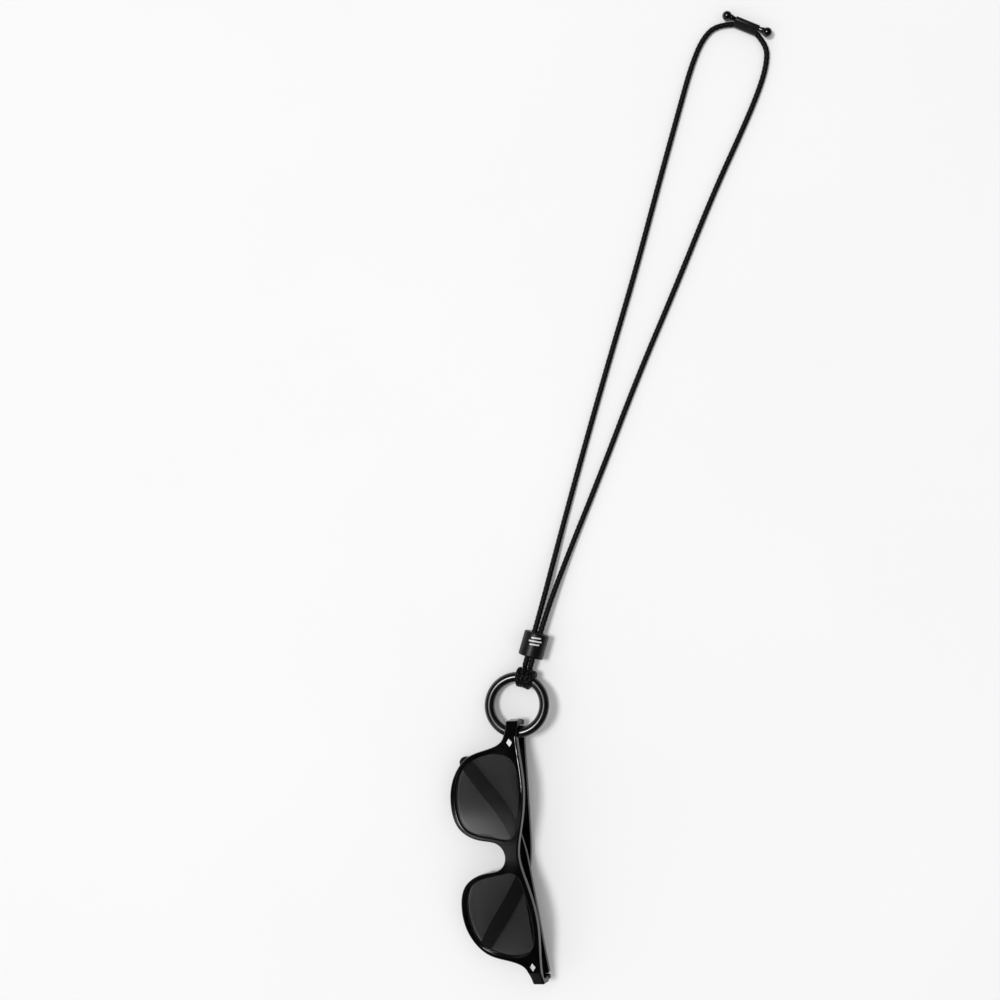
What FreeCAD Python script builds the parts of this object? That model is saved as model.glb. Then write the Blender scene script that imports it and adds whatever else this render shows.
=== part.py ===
import FreeCAD, Part
import math
import os

# Sunglasses hung on a neck lanyard, lying on a flat surface, folded, lenses up.
# Row frame: +Z up from the surface, +Y towards the wearer's right end of the glasses,
# +X towards the brow.  Glasses frame (before seating): x = wearer's left, y = backwards,
# z = up the wearer's face.  All lengths are in millimetres.

V = FreeCAD.Vector
doc = FreeCAD.newDocument("glasses_on_lanyard")

# ---------------------------------------------------------------- driving dimensions
SIZES = {
    "bow_radius": 380.0, "front_thick": 4.3, "lens_thick": 2.0, "lens_inset": 1.3, "groove_deep": 0.8,
    "front_round": 0.9, "opening_round": 0.6, "temple_round": 1.1,
    "end_reach": 75.0, "end_low": 12.1, "end_high": 19.3, "wrap_rear": 18.0, "wrap_inner": 71.6,
    "pin_x": 72.6, "pin_y": 20.2, "pin_radius": 0.7, "bore_radius": 0.75, "knuckle_radius": 1.55,
    "knuckle_base": 12.9, "knuckle_high": 1.8, "knuckle_gap": 0.1, "head_radius": 1.2, "head_high": 0.6,
    "stud_x": 63.3, "stud_z": 15.4, "temple_thick": 4.0, "temple_tip_thick": 3.2, "temple_butt": 2.0,
    "right_splay": 1.2, "left_splay": -4.6, "right_turn_in": 0.27, "left_turn_in": 0.0,
    "seat_tilt": 22.3, "seat_x": -2.8, "seat_y": 0.0, "seat_z": 20.2,
    "ring_radius": 15.9, "ring_wire": 2.9, "ring_pitch": 13.4, "ring_roll": 12.0,
    "ring_lean": 10.0,
    "crotch_x": 67.2, "crotch_y": 14.4, "cord_radius": 1.5, "cord_half_gap": 1.55, "lean": 21.9,
    "wrap_pitch": 3.05, "wrap_clear": 0.3, "neck_from": 5.2, "neck_to": 7.2,
    "bead_radius": 7.15, "bead_long": 14.2, "bead_at": 19.4, "bead_play": 0.3, "bead_height": 7.2,
    "sleeve_long": 14.3, "sleeve_wide": 7.0, "sleeve_deep": 3.9, "sleeve_roll": 50.0,
    "sleeve_x": 190.4, "sleeve_y": 453.2, "sleeve_height": 3.16, "sleeve_turn": -28.2,
    "tail_radius": 1.3, "tail_bore": 1.4, "tail_long": 7.0, "entry_bore": 1.55, "bore_offset": 1.55,
    "ball_radius": 2.45, "ball_neck_long": 3.7, "ball_neck_small": 1.3, "ball_neck_wide": 1.9,
}
sheet = doc.addObject("Spreadsheet::Sheet", "sizes")
for row, (alias, value) in enumerate(SIZES.items(), start=1):
    sheet.set("A%d" % row, alias)
    sheet.set("B%d" % row, str(value))
    sheet.setAlias("B%d" % row, alias)
doc.recompute()


def size(alias):
    return float(sheet.get(alias))


# ---------------------------------------------------------------- small helpers
def spline(points):
    curve = Part.BSplineCurve()
    curve.interpolate(points)
    return curve.toShape()


def closed_spline(points):
    curve = Part.BSplineCurve()
    curve.interpolate(points, PeriodicFlag=True)
    return curve.toShape()


def polygon(points):
    return [Part.makeLine(a, b) for a, b in zip(points[:-1], points[1:])]


def face_of(edges):
    return Part.Face(Part.Wire(Part.__sortEdges__(edges)))


def box(low, high):
    span = V(*high) - V(*low)
    return Part.makeBox(span.x, span.y, span.z, V(*low))


def mirrored(shape):
    return shape.mirror(V(0, 0, 0), V(1, 0, 0))


def feature(label, shape, placement):
    """A sub-part whose shape is worked out here, in its own frame, and then placed."""
    node = doc.addObject("Part::Feature", label)
    node.Shape = shape
    node.Placement = placement.multiply(shape.Placement)
    return node


def primitive(kind, name, bindings, base=V(0, 0, 0), rotation=FreeCAD.Rotation()):
    """A Part primitive whose sizes are bound to cells of the sheet."""
    thing = doc.addObject(kind, name)
    for prop, expression in bindings.items():
        thing.setExpression(prop, expression)
    thing.Placement = FreeCAD.Placement(base, rotation)
    return thing


def combine(kind, name, **links):
    thing = doc.addObject(kind, name)
    for prop, value in links.items():
        setattr(thing, prop, value)
    return thing


# ---------------------------------------------------------------- where things sit
tilt = math.radians(size("seat_tilt"))
glasses = FreeCAD.Placement(
    V(size("seat_x"), size("seat_y"), size("seat_z")),
    FreeCAD.Rotation(V(0, -1, 0), V(math.sin(tilt), 0, -math.cos(tilt)), V(math.cos(tilt), 0, math.sin(tilt)), "XYZ"),
)
end_mid = 0.5 * (size("end_low") + size("end_high"))
crotch = glasses.multVec(V(-size("crotch_x"), size("crotch_y"), end_mid))
ring_turn = FreeCAD.Rotation(V(1, 0, 0), -size("ring_pitch")).multiply(FreeCAD.Rotation(V(0, 1, 0), -size("ring_roll")))
ring_lean = math.radians(size("ring_lean"))
ring_centre = crotch + ring_turn.multVec(V(math.sin(ring_lean), math.cos(ring_lean), 0) * size("ring_radius"))
lean = math.radians(size("lean"))
along = V(math.sin(lean), math.cos(lean), 0)
across = V(math.cos(lean), -math.sin(lean), 0)
hitch_centre = ring_centre + ring_turn.multVec(along * size("ring_radius"))
neck_line = V(hitch_centre.x, hitch_centre.y, size("bead_height"))


# ---------------------------------------------------------------- front
HALF_BOTTOM = [(0, 7.4), (6.3, 4.5), (9.3, -6.2), (16.8, -19.4), (29.5, -23.0), (44.4, -20.6), (56, -11.1),
               (60.8, 4.0), (64.8, 10.6), (70, 12.0)]
HALF_BROW = [(0, 15.5), (8.5, 16.7), (18.5, 19.2), (28, 21.0), (40, 21.8), (54, 20.6), (66, 19.4)]
LENS = [(9.3, 7.8), (11.8, -5.0), (17, -16.1), (27, -19.7), (38.5, -19.2), (49.5, -14.9), (55.6, -4.6),
        (57, 7.5), (53.6, 15.5), (43, 18.8), (30, 18.4), (18, 16.0), (11.2, 13.2)]
SLAB_DEEP = 40.0


def both_halves(half, end):
    right = [V(-x, 0, z) for x, z in reversed(half[1:])]
    left = [V(x, 0, z) for x, z in half]
    return [V(-end[0], 0, end[1])] + right + left + [V(end[0], 0, end[1])]


def front_outline():
    """Seen from the front: brow line, lower line and the square ends."""
    reach = size("end_reach")
    low = both_halves(HALF_BOTTOM, (reach, size("end_low")))
    high = both_halves(HALF_BROW, (reach, size("end_high")))
    edges = [spline(low), spline(high), Part.makeLine(low[0], high[0]), Part.makeLine(low[-1], high[-1])]
    return face_of(edges).extrude(V(0, SLAB_DEEP, 0))


def bow(x, inset):
    """How far behind the bridge a surface of the bowed front lies."""
    return size("bow_radius") - math.sqrt((size("bow_radius") - inset) ** 2 - x * x)


def front_plan():
    """Seen from above: the bowed front and the two ends that wrap back to the hinges."""
    thick = size("front_thick")
    crease, heel = 66.8, 67.5
    side = [V(crease, bow(crease, 0), 0), V(74.6, 10.6, 0), V(size("end_reach"), size("wrap_rear"), 0),
            V(size("wrap_inner"), size("wrap_rear"), 0), V(size("wrap_inner"), 12.6, 0), V(69.8, 10.6, 0),
            V(heel, bow(heel, thick), 0)]
    other = [V(-p.x, p.y, 0) for p in side]
    edges = polygon(side) + polygon(other)
    edges.append(Part.Arc(other[0], V(0, 0, 0), side[0]).toShape())
    edges.append(Part.Arc(other[-1], V(0, thick, 0), side[-1]).toShape())
    return face_of(edges).extrude(V(0, 0, 80)).translated(V(0, 0, -40))


def lens_blank(grow):
    """The lens outline, grown evenly about its middle, as a prism."""
    centre_x, centre_z, half_wide, half_high = 33.0, -0.5, 23.8, 19.3
    points = [V(centre_x + (x - centre_x) * (1 + grow / half_wide), 0,
                centre_z + (z - centre_z) * (1 + grow / half_high)) for x, z in LENS]
    return face_of([closed_spline(points)]).extrude(V(0, SLAB_DEEP, 0))


def on_bow(edge, radius):
    """Whether an edge lies all along a surface of the bowed front, within reach of a lens opening."""
    for share in (0.1, 0.3, 0.5, 0.7, 0.9):
        point = edge.valueAt(edge.FirstParameter + share * (edge.LastParameter - edge.FirstParameter))
        if abs(math.hypot(point.x, point.y - size("bow_radius")) - radius) > 0.001 or abs(abs(point.x) - 33) > 26:
            return False
    return True


def rim():
    """The front with its edges rounded, and two lens openings with their edges rounded."""
    blank = front_outline().common(front_plan())
    blank = blank.makeFillet(size("front_round"), blank.Edges)
    blank = blank.cut(lens_blank(0)).cut(mirrored(lens_blank(0)))
    edges = []
    for edge in blank.Edges:
        for radius in (size("bow_radius"), size("bow_radius") - size("front_thick")):
            if 100 < edge.Length < 200 and on_bow(edge, radius):
                edges.append(edge)
    print("rounded opening edges:", len(edges))
    return blank.makeFillet(size("opening_round"), edges)


def lens_solid():
    radius = size("bow_radius")
    outer = radius - size("lens_inset")
    middle = V(0, radius, -40)
    shell = Part.makeCylinder(outer, 80, middle).cut(Part.makeCylinder(outer - size("lens_thick"), 80, middle))
    return lens_blank(size("groove_deep")).common(shell)


def nose_pad():
    """A moulded pad on the back of the rim, beside the nose."""
    ball = Part.makeSphere(1.0)
    stretch = FreeCAD.Matrix()
    stretch.scale(1.5, 3.2, 6.0)
    pad = ball.transformGeometry(stretch)
    pad.rotate(V(0, 0, 0), V(0, 1, 0), -14)
    pad.translate(V(10.7, size("front_thick") + 0.6, -4.5))
    return pad.cut(front_plan())


def stud():
    """A lozenge-headed rivet through the end of the front."""
    wide, high = 2.3, 1.7
    head = [V(wide, 0, 0), V(0, 0, high), V(-wide, 0, 0), V(0, 0, -high), V(wide, 0, 0)]
    face_y = bow(size("stud_x"), 0)
    plate = face_of(polygon(head)).extrude(V(0, 1.3, 0)).translated(V(size("stud_x"), face_y - 0.5, size("stud_z")))
    shank = Part.makeCylinder(0.6, 2.6, V(size("stud_x"), face_y, size("stud_z")), V(0, 1, 0))
    return plate.fuse(shank).removeSplitter()


def knuckles(levels, radius):
    """Barrels of a hinge about its pin, at the given levels counted from the bottom."""
    step = size("knuckle_high") + size("knuckle_gap")
    barrels = []
    for level in levels:
        foot = V(0, 0, size("knuckle_base") + level * step)
        barrels.append(Part.makeCylinder(radius, size("knuckle_high"), foot))
    return barrels


def pin_hole():
    return Part.makeCylinder(size("bore_radius"), 20, V(0, 0, 5))


def front_leaf():
    """Two barrels on a spine that is sunk in the wrapped end; the pin is at the origin."""
    step = size("knuckle_high") + size("knuckle_gap")
    base = size("knuckle_base")
    top = base + 2 * step + size("knuckle_high")
    leaf = box((-0.9, -4.8, base), (1.4, -2.8, top))
    for level, barrel in zip((0, 2), knuckles((0, 2), size("knuckle_radius"))):
        foot = base + level * step
        leaf = leaf.fuse(box((-0.9, -4.8, foot), (1.4, 0, foot + size("knuckle_high")))).fuse(barrel)
    return leaf.cut(pin_hole()).removeSplitter()


def temple_leaf():
    """One barrel and a plate let into the temple's inner face; the pin is at the origin, inboard is +x."""
    foot = size("knuckle_base") + size("knuckle_high") + size("knuckle_gap")
    web = box((0, -1.45, foot), (3.0, 0.2, foot + size("knuckle_high")))
    plate = box((2.6, -1.75, end_mid - 2.1), (13.5, -0.7, end_mid + 2.1))
    leaf = knuckles((1,), size("knuckle_radius"))[0].fuse(web).fuse(plate)
    return leaf.cut(pin_hole()).removeSplitter()


def hinge_screw():
    top = size("knuckle_base") + 3 * size("knuckle_high") + 2 * size("knuckle_gap")
    shank = Part.makeCylinder(size("pin_radius"), top - size("knuckle_base"), V(0, 0, size("knuckle_base")))
    head = Part.makeCylinder(size("head_radius"), size("head_high"), V(0, 0, top))
    slot = box((-2, -0.15, top + size("head_high") - 0.3), (2, 0.15, top + size("head_high") + 1))
    return shank.fuse(head).cut(slot).removeSplitter()


# ---------------------------------------------------------------- temples
TEMPLE_TOP = [(30, 17.6), (60, 16.0), (80, 14.0), (96, 8.8), (112, -0.9), (127.5, -11.9)]
TEMPLE_LOW = [(30, 11.2), (60, 9.8), (75, 8.2), (89, 3.4), (106.5, -7.6), (124.0, -18.3)]
TIP_END = (128.4, -16.6)
TEMPLE_MIDDLE = 0.4
BEND_FROM = 80.0
BEND_TO = 92.0
TEMPLE_LONG = 132.0


def turn_in(u, slope):
    """How far the temple has turned inwards at a distance from its pin: an arc, then straight."""
    if u <= BEND_FROM:
        return 0.0
    if u <= BEND_TO:
        return slope * (u - BEND_FROM) ** 2 / (2 * (BEND_TO - BEND_FROM))
    return slope * (u - 0.5 * (BEND_FROM + BEND_TO))


def temple_plan(half_start, half_end, slope, start, end):
    """Seen from above, pin at the origin: a blade that thins and turns in towards its tip."""
    def sides(u):
        half = half_start + (half_end - half_start) * u / TEMPLE_LONG
        middle = TEMPLE_MIDDLE - turn_in(u, slope)
        return middle - half, middle + half

    stations = [start] + [u for u in (30, 55, 74, BEND_FROM, 86, BEND_TO, 98, 115) if start < u < end] + [end]
    inner = [V(u, sides(u)[0], 0) for u in stations]
    outer = [V(u, sides(u)[1], 0) for u in stations]
    edges = [spline(inner), spline(outer), Part.makeLine(inner[0], outer[0]), Part.makeLine(inner[-1], outer[-1])]
    return face_of(edges).extrude(V(0, 0, 80)).translated(V(0, 0, -40))


def temple_side():
    """Seen from the side: straight, then turned down behind the ear, with a round tip."""
    butt = size("temple_butt")
    top = [V(butt, -SLAB_DEEP, size("end_high"))] + [V(u, -SLAB_DEEP, z) for u, z in TEMPLE_TOP]
    low = [V(butt, -SLAB_DEEP, size("end_low"))] + [V(u, -SLAB_DEEP, z) for u, z in TEMPLE_LOW]
    tip = Part.Arc(top[-1], V(TIP_END[0], -SLAB_DEEP, TIP_END[1]), low[-1]).toShape()
    edges = [spline(top), spline(low), tip, Part.makeLine(low[0], top[0])]
    return face_of(edges).extrude(V(0, 2 * SLAB_DEEP, 0))


def core_side(start, count):
    """The stiffening wire's side view: a thin strip down the middle of the temple."""
    tops = [(size("temple_butt"), size("end_high"))] + TEMPLE_TOP
    lows = [(size("temple_butt"), size("end_low"))] + TEMPLE_LOW
    middle = [(0.5 * (a[0] + b[0]), 0.5 * (a[1] + b[1])) for a, b in zip(tops, lows)][1:count]
    middle = [(start, end_mid - 0.6)] + middle
    half = 0.7
    top = [V(u, -SLAB_DEEP, z + half) for u, z in middle]
    low = [V(u, -SLAB_DEEP, z - half) for u, z in middle]
    edges = [spline(top), spline(low), Part.makeLine(low[0], top[0]), Part.makeLine(low[-1], top[-1])]
    return face_of(edges).extrude(V(0, 2 * SLAB_DEEP, 0))


def temple_rivets():
    pins = [Part.makeCylinder(0.6, 3.2, V(u, -0.7, end_mid), V(0, 1, 0)) for u in (6.2, 10.6)]
    return Part.makeCompound(pins)


def temple_pieces(splay, slope):
    """The temple and everything in it, folded, on the wearer's right."""
    butt, thick, thin = size("temple_butt"), 0.5 * size("temple_thick"), 0.5 * size("temple_tip_thick")
    plan = temple_plan(thick, thin, slope, butt, TEMPLE_LONG)
    core = temple_plan(0.5, 0.5, slope, 15.0, 119.0).common(core_side(15.0, 6))
    leaf = temple_leaf()
    rivets = temple_rivets()
    blank = temple_side().common(plan)
    blade = blank.makeFillet(size("temple_round"), blank.Edges).cut(leaf).cut(core).cut(rivets)
    pieces = {"temple": blade, "temple_core": core, "temple_hinge_leaf": leaf, "temple_rivets": rivets}
    for piece in pieces.values():
        piece.rotate(V(0, 0, 0), V(0, 0, 1), splay)
        piece.translate(V(-size("pin_x"), size("pin_y"), 0))
    return pieces


# ---------------------------------------------------------------- glasses: build both sides
left_lens = lens_solid()
front = rim().cut(left_lens).cut(mirrored(left_lens))
left_front_leaf = front_leaf().translated(V(size("pin_x"), size("pin_y"), 0))
left_screw = hinge_screw().translated(V(size("pin_x"), size("pin_y"), 0))
left_pieces = {"lens": left_lens, "front_hinge_leaf": left_front_leaf, "hinge_screw": left_screw,
               "front_stud": stud(), "nose_pad": nose_pad()}
for piece in (left_front_leaf, left_pieces["front_stud"]):
    front = front.cut(piece).cut(mirrored(piece))
feature("front_frame", front, glasses)
for name, shape in left_pieces.items():
    feature("left_" + name, shape, glasses)
    feature("right_" + name, mirrored(shape), glasses)
for name, shape in temple_pieces(size("right_splay"), size("right_turn_in")).items():
    feature("right_" + name, shape, glasses)
for name, shape in temple_pieces(size("left_splay"), size("left_turn_in")).items():
    feature("left_" + name, mirrored(shape), glasses)

# ---------------------------------------------------------------- ring
ring = primitive("Part::Torus", "ring", {"Radius1": "sizes.ring_radius", "Radius2": "sizes.ring_wire"},
                 ring_centre, ring_turn)


# ---------------------------------------------------------------- hitch of cord on the ring
def hitch_shape():
    """Four turns of cord round the ring's wire, in the ring's own frame, and the neck of two cords."""
    cord = size("cord_radius")
    turn_radius = size("ring_wire") + size("wrap_clear") + cord
    radius = size("ring_radius")
    turns = None
    for index in (-1.5, -0.5, 0.5, 1.5):
        angle = lean + index * size("wrap_pitch") / radius
        place = V(math.sin(angle), math.cos(angle), 0) * radius
        tangent = V(math.cos(angle), -math.sin(angle), 0)
        turn = Part.makeTorus(turn_radius, cord, place, tangent)
        turns = turn if turns is None else turns.fuse(turn)
    wire = Part.makeTorus(radius, size("ring_wire") + size("wrap_clear"))
    turns = turns.cut(wire)
    turns.Placement = FreeCAD.Placement(ring_centre, ring_turn)
    neck_base = neck_line + along * size("neck_from")
    neck = None
    for side in (-1, 1):
        foot = neck_base + across * (side * size("cord_half_gap"))
        stub = Part.makeCylinder(cord, size("neck_to") - size("neck_from"), foot, along)
        neck = stub if neck is None else neck.fuse(stub)
    web = Part.makeBox(1.2, 2.4, size("neck_to") - size("neck_from"), V(-0.6, -1.2, 0))
    web.Placement = FreeCAD.Placement(neck_base, FreeCAD.Rotation(across, V(0, 0, -1), along, "XYZ"))
    return turns.fuse(neck).fuse(web)


feature("hitch", hitch_shape(), FreeCAD.Placement())

# ---------------------------------------------------------------- bead on the two cords
bead_blank = primitive("Part::Cylinder", "bead_blank", {"Radius": "sizes.bead_radius", "Height": "sizes.bead_long"})
bead_round = combine("Part::Fillet", "bead_round", Base=bead_blank)
doc.recompute()
bead_round.Edges = [(i + 1, 0.9, 0.9) for i, edge in enumerate(bead_blank.Shape.Edges) if isinstance(edge.Curve, Part.Circle)]
bead_bores = []
for side, sign in (("left", "-"), ("right", "+")):
    bore = primitive("Part::Cylinder", "bead_bore_" + side,
                     {"Radius": "sizes.cord_radius + sizes.bead_play", "Height": "sizes.bead_long",
                      "Placement.Base.x": sign + "sizes.cord_half_gap"})
    bead_bores.append(bore)
bead_slot = primitive("Part::Box", "bead_slot",
                      {"Length": "2 * sizes.cord_half_gap", "Width": "2 * (sizes.cord_radius + sizes.bead_play)",
                       "Height": "sizes.bead_long", "Placement.Base.x": "-sizes.cord_half_gap",
                       "Placement.Base.y": "-(sizes.cord_radius + sizes.bead_play)"})
bead_hole = combine("Part::MultiFuse", "bead_hole", Shapes=bead_bores + [bead_slot])
bead = combine("Part::Cut", "bead", Base=bead_round, Tool=bead_hole)
bead.Placement = FreeCAD.Placement(neck_line + along * (size("bead_at") - 0.5 * size("bead_long")),
                                   FreeCAD.Rotation(across, V(0, 0, -1), along, "XYZ"))

# ---------------------------------------------------------------- adjuster sleeve and its two ball ends
turn = math.radians(size("sleeve_turn"))
sleeve_axis = V(math.cos(turn), math.sin(turn), 0)
sleeve_side = V(math.sin(turn), -math.cos(turn), 0)
roll = math.radians(size("sleeve_roll"))
sleeve_width = sleeve_side * math.cos(roll) - V(0, 0, math.sin(roll))
sleeve_rotation = FreeCAD.Rotation(sleeve_width, sleeve_axis.cross(sleeve_width), sleeve_axis, "XYZ")
sleeve_centre = V(size("sleeve_x"), size("sleeve_y"), size("sleeve_height"))
sleeve_foot = sleeve_centre - sleeve_axis * (0.5 * size("sleeve_long"))
half_flat = "(sizes.sleeve_wide - sizes.sleeve_deep) / 2"
shell_parts = []
for side, sign in (("low", "+"), ("high", "-")):
    shell_parts.append(primitive("Part::Cylinder", "sleeve_side_" + side,
                                 {"Radius": "sizes.sleeve_deep / 2", "Height": "sizes.sleeve_long",
                                  "Placement.Base.x": sign + half_flat}))
shell_parts.append(primitive("Part::Box", "sleeve_flat",
                             {"Length": "2 * " + half_flat, "Width": "sizes.sleeve_deep", "Height": "sizes.sleeve_long",
                              "Placement.Base.x": "-" + half_flat, "Placement.Base.y": "-sizes.sleeve_deep / 2"}))
sleeve_body = combine("Part::MultiFuse", "sleeve_body", Shapes=shell_parts)
tail_bore = primitive("Part::Cylinder", "sleeve_tail_bore",
                      {"Radius": "sizes.tail_bore", "Height": "sizes.sleeve_long",
                       "Placement.Base.x": "-sizes.bore_offset"})
entry_bore = primitive("Part::Cylinder", "sleeve_entry_bore",
                       {"Radius": "sizes.entry_bore", "Height": "sizes.sleeve_long",
                        "Placement.Base.x": "sizes.bore_offset"})
sleeve_bores = combine("Part::MultiFuse", "sleeve_bores", Shapes=[tail_bore, entry_bore])
sleeve = combine("Part::Cut", "sleeve", Base=sleeve_body, Tool=sleeve_bores)
sleeve.Placement = FreeCAD.Placement(sleeve_foot, sleeve_rotation)

for name, end_sign in (("right", 1), ("left", -1)):
    axis = sleeve_axis * end_sign
    mouth = sleeve_centre + axis * (0.5 * size("sleeve_long")) - sleeve_width * size("bore_offset")
    rotation = FreeCAD.Rotation(sleeve_width, axis.cross(sleeve_width), axis, "XYZ")
    tail = primitive("Part::Cylinder", name + "_tail",
                     {"Radius": "sizes.tail_radius", "Height": "sizes.tail_long"},
                     mouth - axis * size("tail_long"), rotation)
    neck = primitive("Part::Cone", name + "_ball_neck",
                     {"Radius1": "sizes.ball_neck_small", "Radius2": "sizes.ball_neck_wide",
                      "Height": "sizes.ball_neck_long"})
    ball = primitive("Part::Sphere", name + "_ball_round",
                     {"Radius": "sizes.ball_radius", "Placement.Base.z": "sizes.ball_neck_long + sizes.ball_radius * 0.6"})
    ball_end = combine("Part::MultiFuse", name + "_ball_end", Shapes=[neck, ball])
    ball_end.Placement = FreeCAD.Placement(mouth, rotation)

# ---------------------------------------------------------------- the two long cords
LEFT_ROUTE = [(51.2, 166.5, 2.6), (68.8, 212.0, 1.5), (90.6, 266.6, 1.5), (112.8, 320.2, 1.5), (132.4, 371.5, 1.5),
              (147.9, 411.0, 1.5), (157.0, 434.0, 1.5), (165.2, 449.2, 1.5), (174.5, 456.2, 1.7)]
RIGHT_ROUTE = [(57.2, 162.8, 2.6), (81.1, 207.6, 1.5), (107.4, 259.6, 1.5), (135.7, 310.8, 1.5), (162.2, 360.9, 1.5),
               (183.2, 396.4, 1.5), (194.4, 417.0, 1.5), (200.1, 431.0, 1.5), (201.2, 441.9, 1.7)]
STRAIGHT_TO = 36.0
ARC_SHARE = 0.45
ENTRY_DEEP = 1.2


def rounded_path(points, label):
    """Straight runs joined by tangent arcs; prints the arcs' radii."""
    edges = []
    radii = []
    last = points[0]
    for before, corner, after in zip(points[:-2], points[1:-1], points[2:]):
        into = (corner - before).normalize()
        out = (after - corner).normalize()
        half_turn = 0.5 * into.getAngle(out)
        setback = ARC_SHARE * min((corner - before).Length, (after - corner).Length)
        radius = setback / math.tan(half_turn)
        centre = corner + (out - into).normalize() * (radius / math.cos(half_turn))
        arc_middle = centre + (corner - centre).normalize() * radius
        arc = Part.Arc(corner - into * setback, arc_middle, corner + out * setback)
        edges.append(Part.LineSegment(last, arc.StartPoint).toShape())
        edges.append(arc.toShape())
        last = arc.EndPoint
        radii.append(round(radius, 1))
    edges.append(Part.LineSegment(last, points[-1]).toShape())
    print(label, "arc radii:", radii)
    return Part.Wire(edges)


def cord_shape(side, route, finish, label):
    start = neck_line + across * (side * size("cord_half_gap"))
    points = [start + along * size("neck_to"), start + along * STRAIGHT_TO] + [V(*p) for p in route] + [finish]
    path = rounded_path(points, label)
    radius = size("cord_radius")
    section = Part.Wire([Part.makeCircle(radius, points[0], points[1] - points[0])])
    tube = path.makePipeShell([section], True, False)
    expected = math.pi * radius ** 2 * path.Length
    print(label, "length %.1f" % path.Length, "volume over section x length: %.4f" % (tube.Volume / expected))
    return tube


entry = sleeve_centre + sleeve_width * size("bore_offset")
left_finish = entry - sleeve_axis * (0.5 * size("sleeve_long") - ENTRY_DEEP)
right_finish = entry + sleeve_axis * (0.5 * size("sleeve_long") - ENTRY_DEEP)
feature("left_cord", cord_shape(-1, LEFT_ROUTE, left_finish, "left_cord"), FreeCAD.Placement())
feature("right_cord", cord_shape(1, RIGHT_ROUTE, right_finish, "right_cord"), FreeCAD.Placement())

# ---------------------------------------------------------------- check and write
NODES = ["front_frame", "ring", "hitch", "bead", "sleeve", "left_cord", "right_cord"]
for side_name in ("left", "right"):
    NODES += [side_name + "_" + name for name in left_pieces]
    NODES += [side_name + "_" + name for name in ("temple", "temple_core", "temple_hinge_leaf", "temple_rivets")]
    NODES += [side_name + "_tail", side_name + "_ball_end"]

doc.recompute()
for thing in doc.Objects:
    if "Invalid" in thing.State or "Error" in thing.State:
        raise RuntimeError("failed object: " + thing.Name)
for name in NODES:
    node = doc.getObject(name)
    node.Label = name
    if node.Shape.isNull() or not node.Shape.isValid():
        raise RuntimeError("bad shape: " + name)
os.makedirs("parts", exist_ok=True)
for name in NODES:
    doc.getObject(name).Shape.exportStep("parts/" + name + ".step")
print(len(NODES), "sub-parts written")
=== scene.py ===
import math

import bmesh
import bpy
import numpy as np
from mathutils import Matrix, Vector


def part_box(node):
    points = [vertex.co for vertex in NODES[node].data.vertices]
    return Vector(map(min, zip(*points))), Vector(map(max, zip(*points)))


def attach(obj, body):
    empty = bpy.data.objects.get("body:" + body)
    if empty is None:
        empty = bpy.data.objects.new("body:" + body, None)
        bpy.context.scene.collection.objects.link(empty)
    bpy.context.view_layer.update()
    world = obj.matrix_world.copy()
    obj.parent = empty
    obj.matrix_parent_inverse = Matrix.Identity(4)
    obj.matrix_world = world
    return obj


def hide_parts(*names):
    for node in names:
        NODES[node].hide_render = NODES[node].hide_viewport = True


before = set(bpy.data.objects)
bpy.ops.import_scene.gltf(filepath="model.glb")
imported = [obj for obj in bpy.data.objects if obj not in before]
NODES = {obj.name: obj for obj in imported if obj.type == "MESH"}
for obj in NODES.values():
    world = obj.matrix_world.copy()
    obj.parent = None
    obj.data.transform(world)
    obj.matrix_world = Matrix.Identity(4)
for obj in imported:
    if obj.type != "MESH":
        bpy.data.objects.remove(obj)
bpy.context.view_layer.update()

# Folded sunglasses on a braided neck lanyard, seen from straight above on a pale surface.
# Metres, in the CAD model's frame.

SIDES = ("left", "right")
UP = np.array((0.0, 0.0, 1.0))

# ---------------------------------------------------------------- material helper


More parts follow.
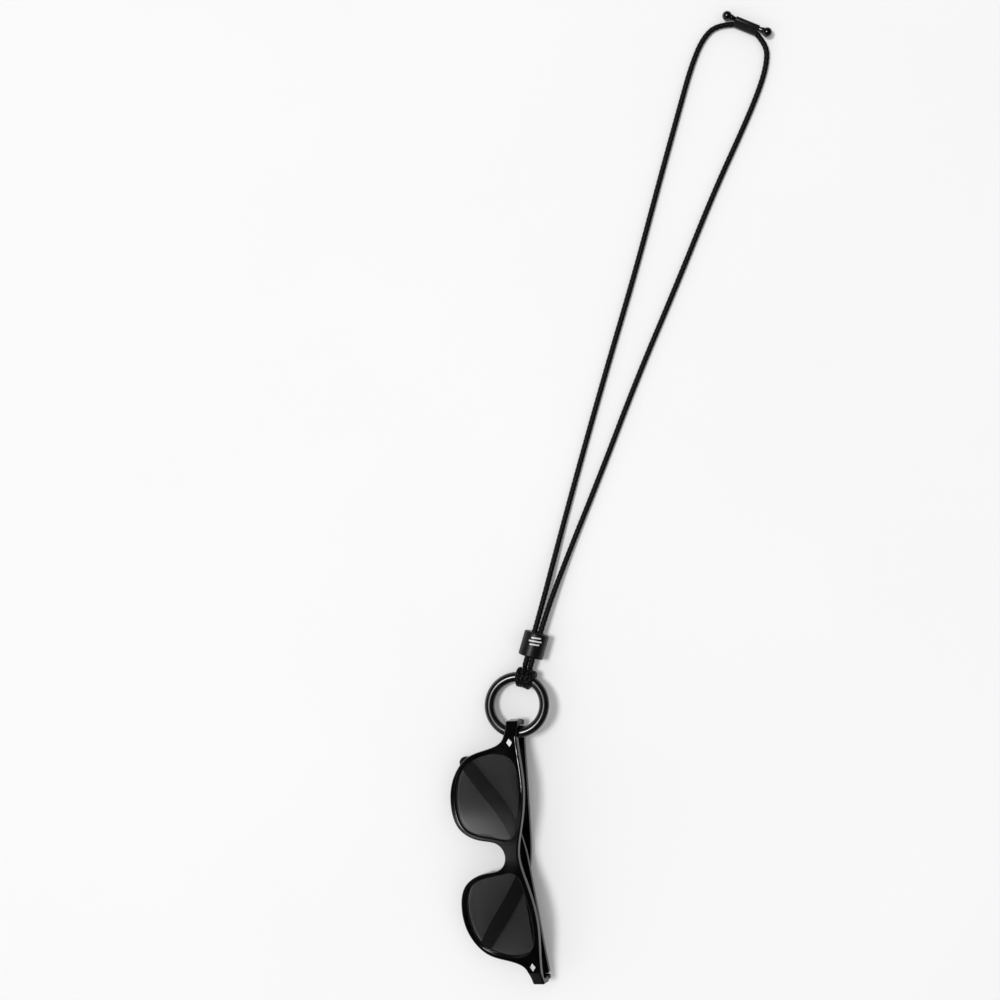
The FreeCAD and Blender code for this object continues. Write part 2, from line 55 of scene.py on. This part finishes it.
class Look:
    """A material and short calls that add nodes to it."""

    def __init__(self, name, **sockets):
        self.material = bpy.data.materials.new(name)
        self.material.use_nodes = True
        self.tree = self.material.node_tree
        self.shader = self.tree.nodes["Principled BSDF"]
        for socket, value in sockets.items():
            self.shader.inputs[socket.replace("_", " ")].default_value = value
        self.place = self.node("ShaderNodeTexCoord").outputs["Object"]

    def node(self, kind, **settings):
        made = self.tree.nodes.new(kind)
        for key, value in settings.items():
            setattr(made, key, value)
        return made

    def join(self, source, target):
        self.tree.links.new(source, target)

    def noise(self, scale, detail=4.0, rough=0.5, stretch=(1, 1, 1), turn=0.0):
        """Cloudy noise; a small stretch along an axis draws it out into lines that way."""
        place = self.node("ShaderNodeMapping")
        place.inputs["Scale"].default_value = stretch
        place.inputs["Rotation"].default_value = (0, 0, turn)
        self.join(self.place, place.inputs["Vector"])
        made = self.node("ShaderNodeTexNoise")
        made.inputs["Scale"].default_value = scale
        made.inputs["Detail"].default_value = detail
        made.inputs["Roughness"].default_value = rough
        self.join(place.outputs["Vector"], made.inputs["Vector"])
        return made.outputs["Fac"]

    def grains(self, scale):
        """Rounded cells, for a pebbled skin."""
        made = self.node("ShaderNodeTexVoronoi")
        made.inputs["Scale"].default_value = scale
        self.join(self.place, made.inputs["Vector"])
        return made.outputs["Distance"]

    def ramp(self, factor, *stops):
        """A colour ramp: stops are (position, grey or colour)."""
        made = self.node("ShaderNodeValToRGB")
        ramp = made.color_ramp
        while len(ramp.elements) < len(stops):
            ramp.elements.new(0.5)
        for element, (position, colour) in zip(ramp.elements, stops):
            element.position = position
            grey = isinstance(colour, float)
            element.color = (colour, colour, colour, 1) if grey else (*colour, 1)
        self.join(factor, made.inputs["Fac"])
        return made.outputs["Color"]

    def spread(self, factor, low, high, at=(0.35, 0.65)):
        """Map the range at, where noise mostly lies, onto low to high."""
        made = self.node("ShaderNodeMapRange")
        sockets = ("From Min", "From Max", "To Min", "To Max")
        for socket, value in zip(sockets, (*at, low, high)):
            made.inputs[socket].default_value = value
        self.join(factor, made.inputs["Value"])
        return made.outputs["Result"]

    def bump(self, *layers):
        """Layers of (height, metres); each one sits on the last."""
        normal = None
        for height, deep in layers:
            made = self.node("ShaderNodeBump")
            made.inputs["Distance"].default_value = deep
            self.join(height, made.inputs["Height"])
            if normal:
                self.join(normal, made.inputs["Normal"])
            normal = made.outputs["Normal"]
        self.join(normal, self.shader.inputs["Normal"])

    def put(self, **links):
        for socket, source in links.items():
            self.join(source, self.shader.inputs[socket.replace("_", " ")])


# ---------------------------------------------------------------- materials


def acetate():
    """Polished black plastic: faint haze, polishing swirls and finger marks."""
    look = Look("black_acetate", IOR=1.48, Specular_IOR_Level=0.38, Coat_Weight=0.12,
                Coat_Roughness=0.03)
    marks = look.noise(55, 5, 0.6)
    look.put(Base_Color=look.ramp(look.noise(140, 3), (0.3, (0.0012, 0.0012, 0.0013)),
                                  (0.7, (0.0028, 0.0028, 0.003))))
    look.put(Roughness=look.spread(marks, 0.07, 0.2))
    look.bump((look.noise(14, 2), 0.00003), (look.noise(900, 2), 0.000003))
    return look.material


def lens():
    """Grey see-through lens: a painted reflection glow, lighter on the low-X side and fading
    across it, a smear of skin oil and fine dust.
    """
    look = Look("grey_lens", IOR=1.5, Specular_IOR_Level=0.6, Coat_Weight=0.6,
                Coat_Roughness=0.12, Alpha=0.66)
    low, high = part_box("left_lens")
    parts = look.node("ShaderNodeSeparateXYZ")
    look.join(look.place, parts.inputs["Vector"])
    # Painted reflection: the base colour is lighter towards low X, a glow of reflected light.
    across = look.spread(parts.outputs["X"], 0.0, 1.0, at=(low.x, high.x))
    shade = look.ramp(across, (0.0, (0.016, 0.016, 0.0155)), (0.5, (0.009, 0.009, 0.0088)),
                      (1.0, (0.003, 0.003, 0.003)))
    look.put(Base_Color=shade)
    look.put(Roughness=look.spread(look.noise(45, 4, 0.6), 0.12, 0.17))
    look.bump((look.noise(1500, 2), 0.000002))
    return look.material


def metal(name, dark, bright, rough, lines):
    """Metal with brushed lines along Y and small stains."""
    look = Look(name, Metallic=1.0, IOR=2.2)
    brushed = look.noise(lines, 3, 0.5, stretch=(1, 0.06, 1))
    look.put(Base_Color=look.ramp(look.noise(260, 4), (0.3, dark), (0.7, bright)))
    look.put(Roughness=look.spread(brushed, rough * 0.7, rough * 1.4))
    look.bump((brushed, 0.000008))
    return look.material


def ring_metal():
    """Glossy gunmetal plating with rubbed spots and hairline scratches."""
    look = Look("gunmetal_plating", Metallic=0.2, IOR=1.45, Specular_IOR_Level=0.85,
                Coat_Weight=0.3, Coat_Roughness=0.2)
    rubbed = look.noise(120, 6, 0.65)
    look.put(Base_Color=look.ramp(rubbed, (0.4, (0.004, 0.004, 0.0041)),
                                  (0.62, (0.008, 0.008, 0.0082)),
                                  (0.75, (0.024, 0.0236, 0.0232))))
    worn = look.noise(120, 3, 0.6, stretch=(1, 0.3, 1), turn=0.5)
    look.put(Roughness=look.spread(worn, 0.23, 0.27))
    look.bump((look.noise(1600, 2, 0.5, stretch=(1, 0.08, 1), turn=0.9), 0.0000006))
    return look.material


def braid():
    """Black polyester yarn with fine filaments; painted shade darkens the grooves and a painted
    highlight lightens the crests.
    """
    look = Look("black_braid", Specular_IOR_Level=0.12, Sheen_Weight=0.02, Sheen_Roughness=0.45,
                Sheen_Tint=(0.6, 0.6, 0.62, 1))
    crest = look.node("ShaderNodeAttribute", attribute_name="crest").outputs["Fac"]
    # Painted shade and highlight: near black in the grooves to light grey on the crests, by the
    # braid's height.
    shade = look.ramp(crest, (0.0, (0.0006, 0.0006, 0.0007)), (0.5, (0.002, 0.002, 0.0021)),
                      (0.8, (0.014, 0.014, 0.0144)), (1.0, (0.055, 0.055, 0.056)))
    tint = look.node("ShaderNodeMix", data_type="RGBA", blend_type="MULTIPLY")
    tint.inputs["Factor"].default_value = 1.0
    colour_a, colour_b, colour_result = tint.inputs[6], tint.inputs[7], tint.outputs[2]
    look.join(shade, colour_a)
    look.join(look.ramp(look.noise(1400, 3), (0.3, 0.55), (0.7, 1.25)), colour_b)
    look.put(Base_Color=colour_result)
    look.put(Roughness=look.spread(look.noise(2200, 2), 0.42, 0.62))
    look.bump((look.noise(5200, 2, 0.5, stretch=(1, 0.35, 1), turn=0.4), 0.000012))
    return look.material


def moulded(name, dark, light, rough, grain, deep, coat=0.0, shine=0.45):
    """Moulded plastic, rubber or print: mottled colour and a fine pebbled skin."""
    look = Look(name, Specular_IOR_Level=shine, Coat_Weight=coat, Coat_Roughness=0.12)
    look.put(Base_Color=look.ramp(look.noise(180, 5, 0.6), (0.32, dark), (0.68, light)))
    look.put(Roughness=look.spread(look.noise(500, 3), rough - 0.07, rough + 0.07))
    look.bump((look.grains(grain), deep), (look.noise(grain * 0.4, 3), deep))
    return look.material


MATERIALS = {
    "acetate": acetate(),
    "lens": lens(),
    "hinge_metal": metal("brushed_hinge", (0.022, 0.022, 0.023), (0.045, 0.045, 0.046),
                         0.36, 1400),
    "stud": metal("bright_stud", (0.86, 0.86, 0.87), (0.95, 0.95, 0.95), 0.42, 900),
    "ring": ring_metal(),
    "braid": braid(),
    "bead": moulded("charcoal_bead", (0.003, 0.003, 0.0031), (0.006, 0.006, 0.0062),
                    0.42, 5200, 0.000003, shine=0.28),
    "sleeve": moulded("satin_sleeve", (0.003, 0.003, 0.0032), (0.006, 0.006, 0.0062),
                      0.38, 4200, 0.000002),
    "ball": moulded("gloss_ball", (0.002, 0.002, 0.0021), (0.004, 0.004, 0.0042),
                    0.2, 3000, 0.000001, coat=0.5),
    "pad": moulded("nose_pad", (0.006, 0.006, 0.0065), (0.012, 0.012, 0.0125),
                   0.35, 3600, 0.000006),
    "mark": moulded("pale_print", (0.52, 0.52, 0.51), (0.66, 0.66, 0.65),
                    0.5, 5200, 0.000008),
}


def dress(obj, name):
    obj.data.materials.clear()
    obj.data.materials.append(MATERIALS[name])


def smooth(obj, angle=math.radians(35)):
    for face in obj.data.polygons:
        face.use_smooth = True
    obj.data.set_sharp_from_angle(angle=angle)


NODE_LOOKS = {"front_frame": "acetate", "ring": "ring", "bead": "bead"}
PAIRED_LOOKS = {
    "lens": "lens",
    "nose_pad": "pad",
    "temple": "acetate",
    "temple_core": "hinge_metal",
    "front_hinge_leaf": "hinge_metal",
    "temple_hinge_leaf": "hinge_metal",
    "hinge_screw": "hinge_metal",
    "front_stud": "stud",
    "temple_rivets": "stud",
    "tail": "braid",
}
for side in SIDES:
    for part, look_name in PAIRED_LOOKS.items():
        NODE_LOOKS[side + "_" + part] = look_name
for node_name, look_name in NODE_LOOKS.items():
    for slot in NODES[node_name].material_slots:
        slot.material = MATERIALS[look_name]

# ---------------------------------------------------------------- mesh helpers


def add_object(name, data):
    obj = bpy.data.objects.new(name, data)
    bpy.context.scene.collection.objects.link(obj)
    return obj


def tube_faces(rings, sides):
    """Faces of a tube made of rings of vertices, closed at both ends."""
    faces = []
    for i in range(rings - 1):
        for j in range(sides):
            k = (j + 1) % sides
            faces.append((i * sides + j, i * sides + k, (i + 1) * sides + k, (i + 1) * sides + j))
    faces.append(tuple(range(sides - 1, -1, -1)))
    faces.append(tuple(range((rings - 1) * sides, rings * sides)))
    return faces


def mesh_object(name, vertices, faces, body, look, crest=None):
    """A piece made from vertices and faces; crest is the braid's height at each vertex."""
    mesh = bpy.data.meshes.new(name)
    mesh.from_pydata([tuple(v) for v in vertices], [], faces)
    if crest is not None:
        heights = mesh.attributes.new("crest", "FLOAT", "POINT")
        heights.data.foreach_set("value", np.asarray(crest, np.float32))
    mesh.update()
    obj = add_object(name, mesh)
    dress(obj, look)
    smooth(obj)
    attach(obj, body)
    return obj


def nurbs_points(points, name, steps=24):
    """Points read from a smooth open spline with the given control points."""
    curve = bpy.data.curves.new(name, "CURVE")
    curve.dimensions = "3D"
    curve.resolution_u = steps
    spline = curve.splines.new("NURBS")
    spline.points.add(len(points) - 1)
    for control, point in zip(spline.points, points):
        control.co = (*point, 1)
    spline.order_u = 3
    spline.use_endpoint_u = True
    holder = add_object(name, curve)
    mesh = bpy.data.meshes.new_from_object(holder)
    found = np.array([v.co for v in mesh.vertices])
    bpy.data.objects.remove(holder)
    bpy.data.curves.remove(curve)
    bpy.data.meshes.remove(mesh)
    return found


SAME_PLACE = 1e-9
FEWEST_STEPS = 8


def even(points, step):
    """The same line with points an even distance apart, and each one's distance along it."""
    runs = np.linalg.norm(np.diff(points, axis=0), axis=1)
    keep = np.concatenate(([True], runs > SAME_PLACE))
    points = points[keep]
    at = np.concatenate(([0.0], np.cumsum(runs[keep[1:]])))
    count = max(FEWEST_STEPS, int(round(at[-1] / step)))
    marks = np.linspace(0, at[-1], count + 1)
    return np.stack([np.interp(marks, at, points[:, i]) for i in range(3)], axis=1), marks


NEARLY_UPRIGHT = 0.2    # sine of the angle between the line and UP


def carried_frames(line):
    """Two cross directions at each point, turned as little as possible from one to the next."""
    tangent = np.gradient(line, axis=0)
    tangent /= np.linalg.norm(tangent, axis=1)[:, None]
    start = np.cross(tangent[0], UP)
    if np.linalg.norm(start) < NEARLY_UPRIGHT:
        start = np.cross(tangent[0], (1, 0, 0))
    first = [start / np.linalg.norm(start)]
    for direction in tangent[1:]:
        kept = first[-1] - direction * np.dot(first[-1], direction)
        first.append(kept / np.linalg.norm(kept))
    first = np.array(first)
    return first, np.cross(tangent, first)


STRANDS = 4             # crests round the cord in each of the two sets
PLAIT_TURN = 2240.0     # radians of the pattern per metre of cord
RELIEF = 0.0003         # from groove to crest
ROPE_LEVEL = 0.4        # strands above this height are raised, those below it lowered
ROPE_SHARE = 0.35 * 0.6


def braid_height(angle, along_line):
    """0 in the grooves to 1 on the crests of two opposite sets of strands that cross."""
    one = np.cos(STRANDS * angle + PLAIT_TURN * along_line)
    other = np.cos(STRANDS * angle - PLAIT_TURN * along_line)
    weave = one * other
    rope = np.maximum(one, other) - ROPE_LEVEL
    return np.clip(0.5 + 0.5 * weave + ROPE_SHARE * rope, 0, 1)


def braided_tube(line, marks, radius, sides, squeeze=None):
    """Vertices, faces and crest values of a braided cord along a line.

    marks are the points' distances along it, and squeeze scales the radius at each.
    """
    first, second = carried_frames(line)
    angle = np.linspace(0, 2 * math.pi, sides, endpoint=False)
    height = braid_height(angle[None, :], marks[:, None])
    reach = radius + RELIEF * (height - 0.5)
    if squeeze is not None:
        reach = reach * squeeze[:, None]
    wheel = (first[:, None, :] * np.cos(angle)[None, :, None]
             + second[:, None, :] * np.sin(angle)[None, :, None])
    skin = line[:, None, :] + wheel * reach[:, :, None]
    return skin.reshape(-1, 3), tube_faces(len(line), sides), height.reshape(-1)


# ---------------------------------------------------------------- places and sizes of the parts


def node_points(name):
    return np.array([v.co for v in NODES[name].data.vertices], float)


def main_axes(points):
    """Middle of the points and their directions of spread, widest first."""
    middle = 0.5 * (points.min(0) + points.max(0))
    _, directions = np.linalg.eigh(np.cov((points - points.mean(0)).T))
    return middle, directions[:, ::-1].T


ring_points = node_points("ring")
ring_middle, ring_axes = main_axes(ring_points)
ring_up = ring_axes[2] * np.sign(ring_axes[2][2])
flat_reach = np.linalg.norm(np.cross(ring_points - ring_middle, ring_up), axis=1)
RING_RADIUS = 0.5 * (flat_reach.max() + flat_reach.min())   # to the middle of its wire
CORD_RADIUS = 0.0015
CORD_SIDES = 32
CORD_STEP = 0.00028

LEAN = math.radians(21.9)   # the lanyard's direction at the ring and bead, from +Y towards +X
ALONG = np.array((math.sin(LEAN), math.cos(LEAN), 0.0))
ACROSS = np.array((math.cos(LEAN), -math.sin(LEAN), 0.0))

# ---------------------------------------------------------------- the two long cords

# Control points of each cord's centre line, from the hitch to the adjuster sleeve.
ROUTES = {
    "left": [(0.0269, 0.1045, 0.0072), (0.0377, 0.1312, 0.0072), (0.0512, 0.1665, 0.0026),
             (0.0688, 0.2120, 0.0015), (0.0906, 0.2666, 0.0015), (0.1128, 0.3202, 0.0015),
             (0.1324, 0.3715, 0.0015), (0.1479, 0.4110, 0.0015), (0.1570, 0.4340, 0.0015),
             (0.1652, 0.4492, 0.0015), (0.1745, 0.4562, 0.0017), (0.1847, 0.4551, 0.0020)],
    "right": [(0.0298, 0.1033, 0.0072), (0.0406, 0.1301, 0.0072), (0.0572, 0.1628, 0.0026),
              (0.0811, 0.2076, 0.0015), (0.1074, 0.2596, 0.0015), (0.1357, 0.3108, 0.0015),
              (0.1622, 0.3609, 0.0015), (0.1832, 0.3964, 0.0015), (0.1944, 0.4170, 0.0015),
              (0.2001, 0.4310, 0.0015), (0.2012, 0.4419, 0.0017), (0.1952, 0.4495, 0.0020)],
}
for side, route in ROUTES.items():
    line, marks = even(nurbs_points(route, side + "_route"), CORD_STEP)
    vertices, faces, crest = braided_tube(line, marks, CORD_RADIUS, CORD_SIDES)
    cord = mesh_object(side + "_braided_cord", vertices, faces, "lanyard", "braid", crest)
    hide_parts(side + "_cord")

# ---------------------------------------------------------------- the hitch on the ring


def ring_point(outward, upward, sideways):
    """A point near the wire's middle line, on the side of the ring where the cords are tied."""
    turn = LEAN + sideways / RING_RADIUS
    radial = np.array((math.sin(turn), math.cos(turn), 0.0))
    radial -= ring_up * np.dot(radial, ring_up)
    radial /= np.linalg.norm(radial)
    return ring_middle + radial * (RING_RADIUS + outward) + ring_up * upward


MM = 0.001
HITCH_STEP = 0.0003
HITCH_REACH = 0.0047        # from the middle of the wire to the middle of the strand
HITCH_TIGHTNESS = 0.93      # a strand drawn tight is this much thinner than the cord
INNER_SQUEEZE = 0.10        # and thinner again by up to this much inside the ring
INTO_CORD = 0.0002          # how far the strand starts inside the long cord
LEAD = (0.0012, 0.0006)     # its next point, towards the ring and down
# (degrees round the wire from its lowest side, up through the ring's inside;
#  mm sideways from the middle of the hitch)
HITCH_TURNS = [
    (-45, 1.45), (-20, 1.40), (10, 1.35), (50, 1.35), (90, 1.38), (135, 1.36), (180, 1.32),
    (225, 1.35), (270, 1.7), (315, 2.3), (360, 3.0), (405, 3.7), (450, 4.0), (495, 4.0),
    (540, 3.85), (585, 3.6), (630, 3.45), (675, 3.4), (720, 3.3), (745, 3.0),
]
for side, sign in (("left", -1), ("right", 1)):
    start = np.array(ROUTES[side][0])
    points = [start + ALONG * INTO_CORD, start - ALONG * LEAD[0] - UP * LEAD[1]]
    for degrees, sideways in HITCH_TURNS:
        turn = math.radians(degrees)
        points.append(ring_point(-math.sin(turn) * HITCH_REACH, -math.cos(turn) * HITCH_REACH,
                                 sign * sideways * MM))
    line, marks = even(nurbs_points(points, side + "_hitch_route"), HITCH_STEP)
    inward = RING_RADIUS - np.linalg.norm(np.cross(line - ring_middle, ring_up), axis=1)
    squeeze = 1.0 - INNER_SQUEEZE * np.clip(inward / HITCH_REACH, 0, 1)
    vertices, faces, crest = braided_tube(line, marks, HITCH_TIGHTNESS * CORD_RADIUS,
                                          CORD_SIDES, squeeze)
    mesh_object(side + "_hitch_turns", vertices, faces, "lanyard", "braid",
                                   crest)
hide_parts("hitch")

# ---------------------------------------------------------------- adjuster sleeve and ball ends

MERGE_WITHIN = 0.000002
FLAT_BELOW = math.radians(1.5)
EDGE_ABOVE = math.radians(40)
SLEEVE_SMOOTH = math.radians(50)
SLEEVE_ROUNDING = 0.00025


def rounded_copy(node, name, body, look, width):
    """A copy of a CAD part with its facets merged and its edges rounded, shown in its place."""
    mesh = NODES[node].data.copy()
    obj = add_object(name, mesh)
    shape = bmesh.new()
    shape.from_mesh(mesh)
    bmesh.ops.remove_doubles(shape, verts=shape.verts, dist=MERGE_WITHIN)
    bmesh.ops.dissolve_limit(shape, angle_limit=FLAT_BELOW, verts=shape.verts,
                             edges=shape.edges)
    sharp = [edge for edge in shape.edges
             if len(edge.link_faces) == 2 and edge.calc_face_angle() > EDGE_ABOVE]
    bmesh.ops.bevel(shape, geom=sharp, offset=width, segments=3, profile=0.5,
                    affect="EDGES", clamp_overlap=True)
    shape.to_mesh(mesh)
    shape.free()
    mesh.name = name
    dress(obj, look)
    smooth(obj, SLEEVE_SMOOTH)
    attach(obj, body)
    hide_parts(node)
    return obj


def turned(name, foot, axis, profile, body, look, sides=48):
    """A part turned on a lathe: profile is (distance along the axis, radius) from foot to tip."""
    side = np.cross(axis, UP)
    side /= np.linalg.norm(side)
    other = np.cross(axis, side)
    vertices = []
    for along, radius in profile:
        for j in range(sides):
            turn = 2 * math.pi * j / sides
            outward = side * math.cos(turn) + other * math.sin(turn)
            vertices.append(foot + axis * along + outward * radius)
    return mesh_object(name, vertices, tube_faces(len(profile), sides), body, look)


BALL_RADIUS = 0.0028
BALL_FROM_FOOT = 0.0052     # from the collar's foot to the ball's centre
BALL_STEPS = 22
NECK_RADIUS = 0.00165       # where the ball comes out of the collar
TIP_RADIUS = 0.00003
FOOT_DEPTH = 0.0002         # vertices this near the lowest one belong to the foot
COLLAR = [(0.0, 0.00105), (0.00008, 0.00125), (0.0003, 0.00132), (0.0010, 0.00142),
          (0.0016, 0.00156), (0.0021, 0.0017), (0.0023, 0.00186), (0.0026, 0.0019),
          (0.0028, 0.0018)]


def ball_end_profile():
    """A moulded collar with a ball on it, as (distance from the foot, radius)."""
    profile = list(COLLAR)
    start = math.pi - math.asin(NECK_RADIUS / BALL_RADIUS)
    for step in range(1, BALL_STEPS):
        turn = start * (1 - step / BALL_STEPS)
        profile.append((BALL_FROM_FOOT + BALL_RADIUS * math.cos(turn),
                        BALL_RADIUS * math.sin(turn)))
    profile.append((BALL_FROM_FOOT + BALL_RADIUS, TIP_RADIUS))
    return profile


sleeve = rounded_copy("sleeve", "adjuster_sleeve", "lanyard", "sleeve", SLEEVE_ROUNDING)
_, sleeve_axes = main_axes(node_points("sleeve"))
sleeve_axis = sleeve_axes[0] * np.sign(sleeve_axes[0][0])
for side, sign in (("right", 1), ("left", -1)):
    axis = sleeve_axis * sign
    points = node_points(side + "_ball_end")
    reach = points @ axis
    near = points[reach < reach.min() + FOOT_DEPTH]
    foot = near.mean(0)
    foot += axis * (reach.min() - foot @ axis)
    end = turned(side + "_end_ball", foot, axis, ball_end_profile(), side + "_end", "ball")
    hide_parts(side + "_ball_end")

# ---------------------------------------------------------------- plain mark on the bead

bead_low, bead_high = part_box("bead")
bead_middle = 0.5 * np.array(bead_low + bead_high)
BEAD_RADIUS = 0.5 * (bead_high.z - bead_low.z)
BAR_CELLS = 10
BAR_LIFTS = (-0.00008, 0.00005)     # the bar's under and upper side, from the bead's skin
BAR_SLANT = 0.0007                  # along the bead, from one end of a bar to the other
# (from and to along the bead in metres, degrees that the bar reaches to each side of the top)
BEAD_BARS = ((0.0002, 0.00105, 22), (0.0021, 0.00295, 30), (0.0040, 0.00485, 22))


def bead_bar(name, along_from, along_to, turn_from, turn_to):
    """A thin slanted bar that follows the bead's round side."""
    vertices, faces = [], []
    for lift in BAR_LIFTS:
        for i in range(BAR_CELLS + 1):
            turn = math.radians(turn_from + (turn_to - turn_from) * i / BAR_CELLS)
            reach = BEAD_RADIUS + lift
            side = ACROSS * (math.sin(turn) * reach) + UP * (math.cos(turn) * reach)
            slant = BAR_SLANT * (i / BAR_CELLS - 0.5)
            vertices.append(bead_middle + side + ALONG * (along_from + slant))
            vertices.append(bead_middle + side + ALONG * (along_to + slant))
    top = 2 * (BAR_CELLS + 1)
    for i in range(BAR_CELLS):
        a, b, c, d = 2 * i, 2 * i + 1, 2 * i + 3, 2 * i + 2
        faces += [(a, b, c, d), (top + a, top + d, top + c, top + b),
                  (a, d, top + d, top + a), (b, top + b, top + c, c)]
    faces += [(0, top, top + 1, 1), (top - 2, top - 1, 2 * top - 1, 2 * top - 2)]
    return mesh_object(name, vertices, faces, "bead", "mark")


for number, (low, high, half) in enumerate(BEAD_BARS):
    bead_bar("bead_mark_%d" % number, low, high, -half, half)

# ---------------------------------------------------------------- floor, light and camera

FLOOR_REACH = 60            # so far that its edge lies on the horizon, seen from a low angle
FLOOR_GAP = 0.0001
ROOM_LIGHT = 0.53


def floor():
    far = FLOOR_REACH
    corners = [(-far, -far, 0), (far, -far, 0), (far, far, 0), (-far, far, 0)]
    mesh = bpy.data.meshes.new("floor")
    mesh.from_pydata(corners, [], [(0, 1, 2, 3)])
    obj = add_object("floor", mesh)
    look = Look("pale_floor", Roughness=0.9, Specular_IOR_Level=0.1)
    look.put(Base_Color=look.ramp(look.noise(6, 3), (0.2, (0.87, 0.87, 0.87)),
                                  (0.8, (0.89, 0.89, 0.89))))
    obj.data.materials.append(look.material)
    obj.location.z = -FLOOR_GAP


def lamp(name, kind, place, aim, energy):
    """A light that shines from a place towards a point; returns its settings."""
    data = bpy.data.lights.new(name, kind)
    data.energy = energy
    obj = add_object(name, data)
    obj.location = place
    obj.rotation_euler = (Vector(aim) - Vector(place)).to_track_quat("-Z", "Y").to_euler()
    return data


def softbox(name, place, aim, wide, high, power):
    """A wide soft light."""
    data = lamp(name, "AREA", place, aim, power)
    data.shape = "RECTANGLE"
    data.size, data.size_y = wide, high


def surroundings():
    """A pale room that fills the shadows and isn't mirrored in the glossy parts."""
    world = bpy.data.worlds.new("studio")
    bpy.context.scene.world = world
    world.use_nodes = True
    shade = world.node_tree.nodes["Background"]
    shade.inputs["Color"].default_value = (1, 1, 1, 1)
    shade.inputs["Strength"].default_value = ROOM_LIGHT
    world.cycles_visibility.glossy = False


def camera_above(place, turn, lens):
    """A camera that looks straight down."""
    data = bpy.data.cameras.new("camera")
    data.lens = lens
    data.sensor_width = 36
    data.clip_start = 0.01
    camera = add_object("camera", data)
    camera.location = place
    camera.rotation_euler = (0, 0, turn)
    return camera


floor()
surroundings()
softbox("top", place=(-0.33, 0.42, 1.1), aim=(0.02, 0.06, 0.01), wide=0.42, high=0.42, power=1.0)
# Placed so that its reflection lies as a soft glow on one lens, seen from above.
softbox("left", place=(-1.171, -0.203, 0.94), aim=(-0.0085, 0.0126, 0.016),
        wide=0.262, high=0.315, power=0.62)
key = lamp("key", "SUN", place=(-0.38, 0.36, 1.15), aim=(0.09, 0.2, 0.0), energy=1.62)
key.angle = math.radians(13)

scene = bpy.context.scene
scene.view_settings.view_transform = "Standard"
scene.camera = camera_above((0.02246, 0.19905, 1.020), turn=math.radians(-6), lens=64.17)
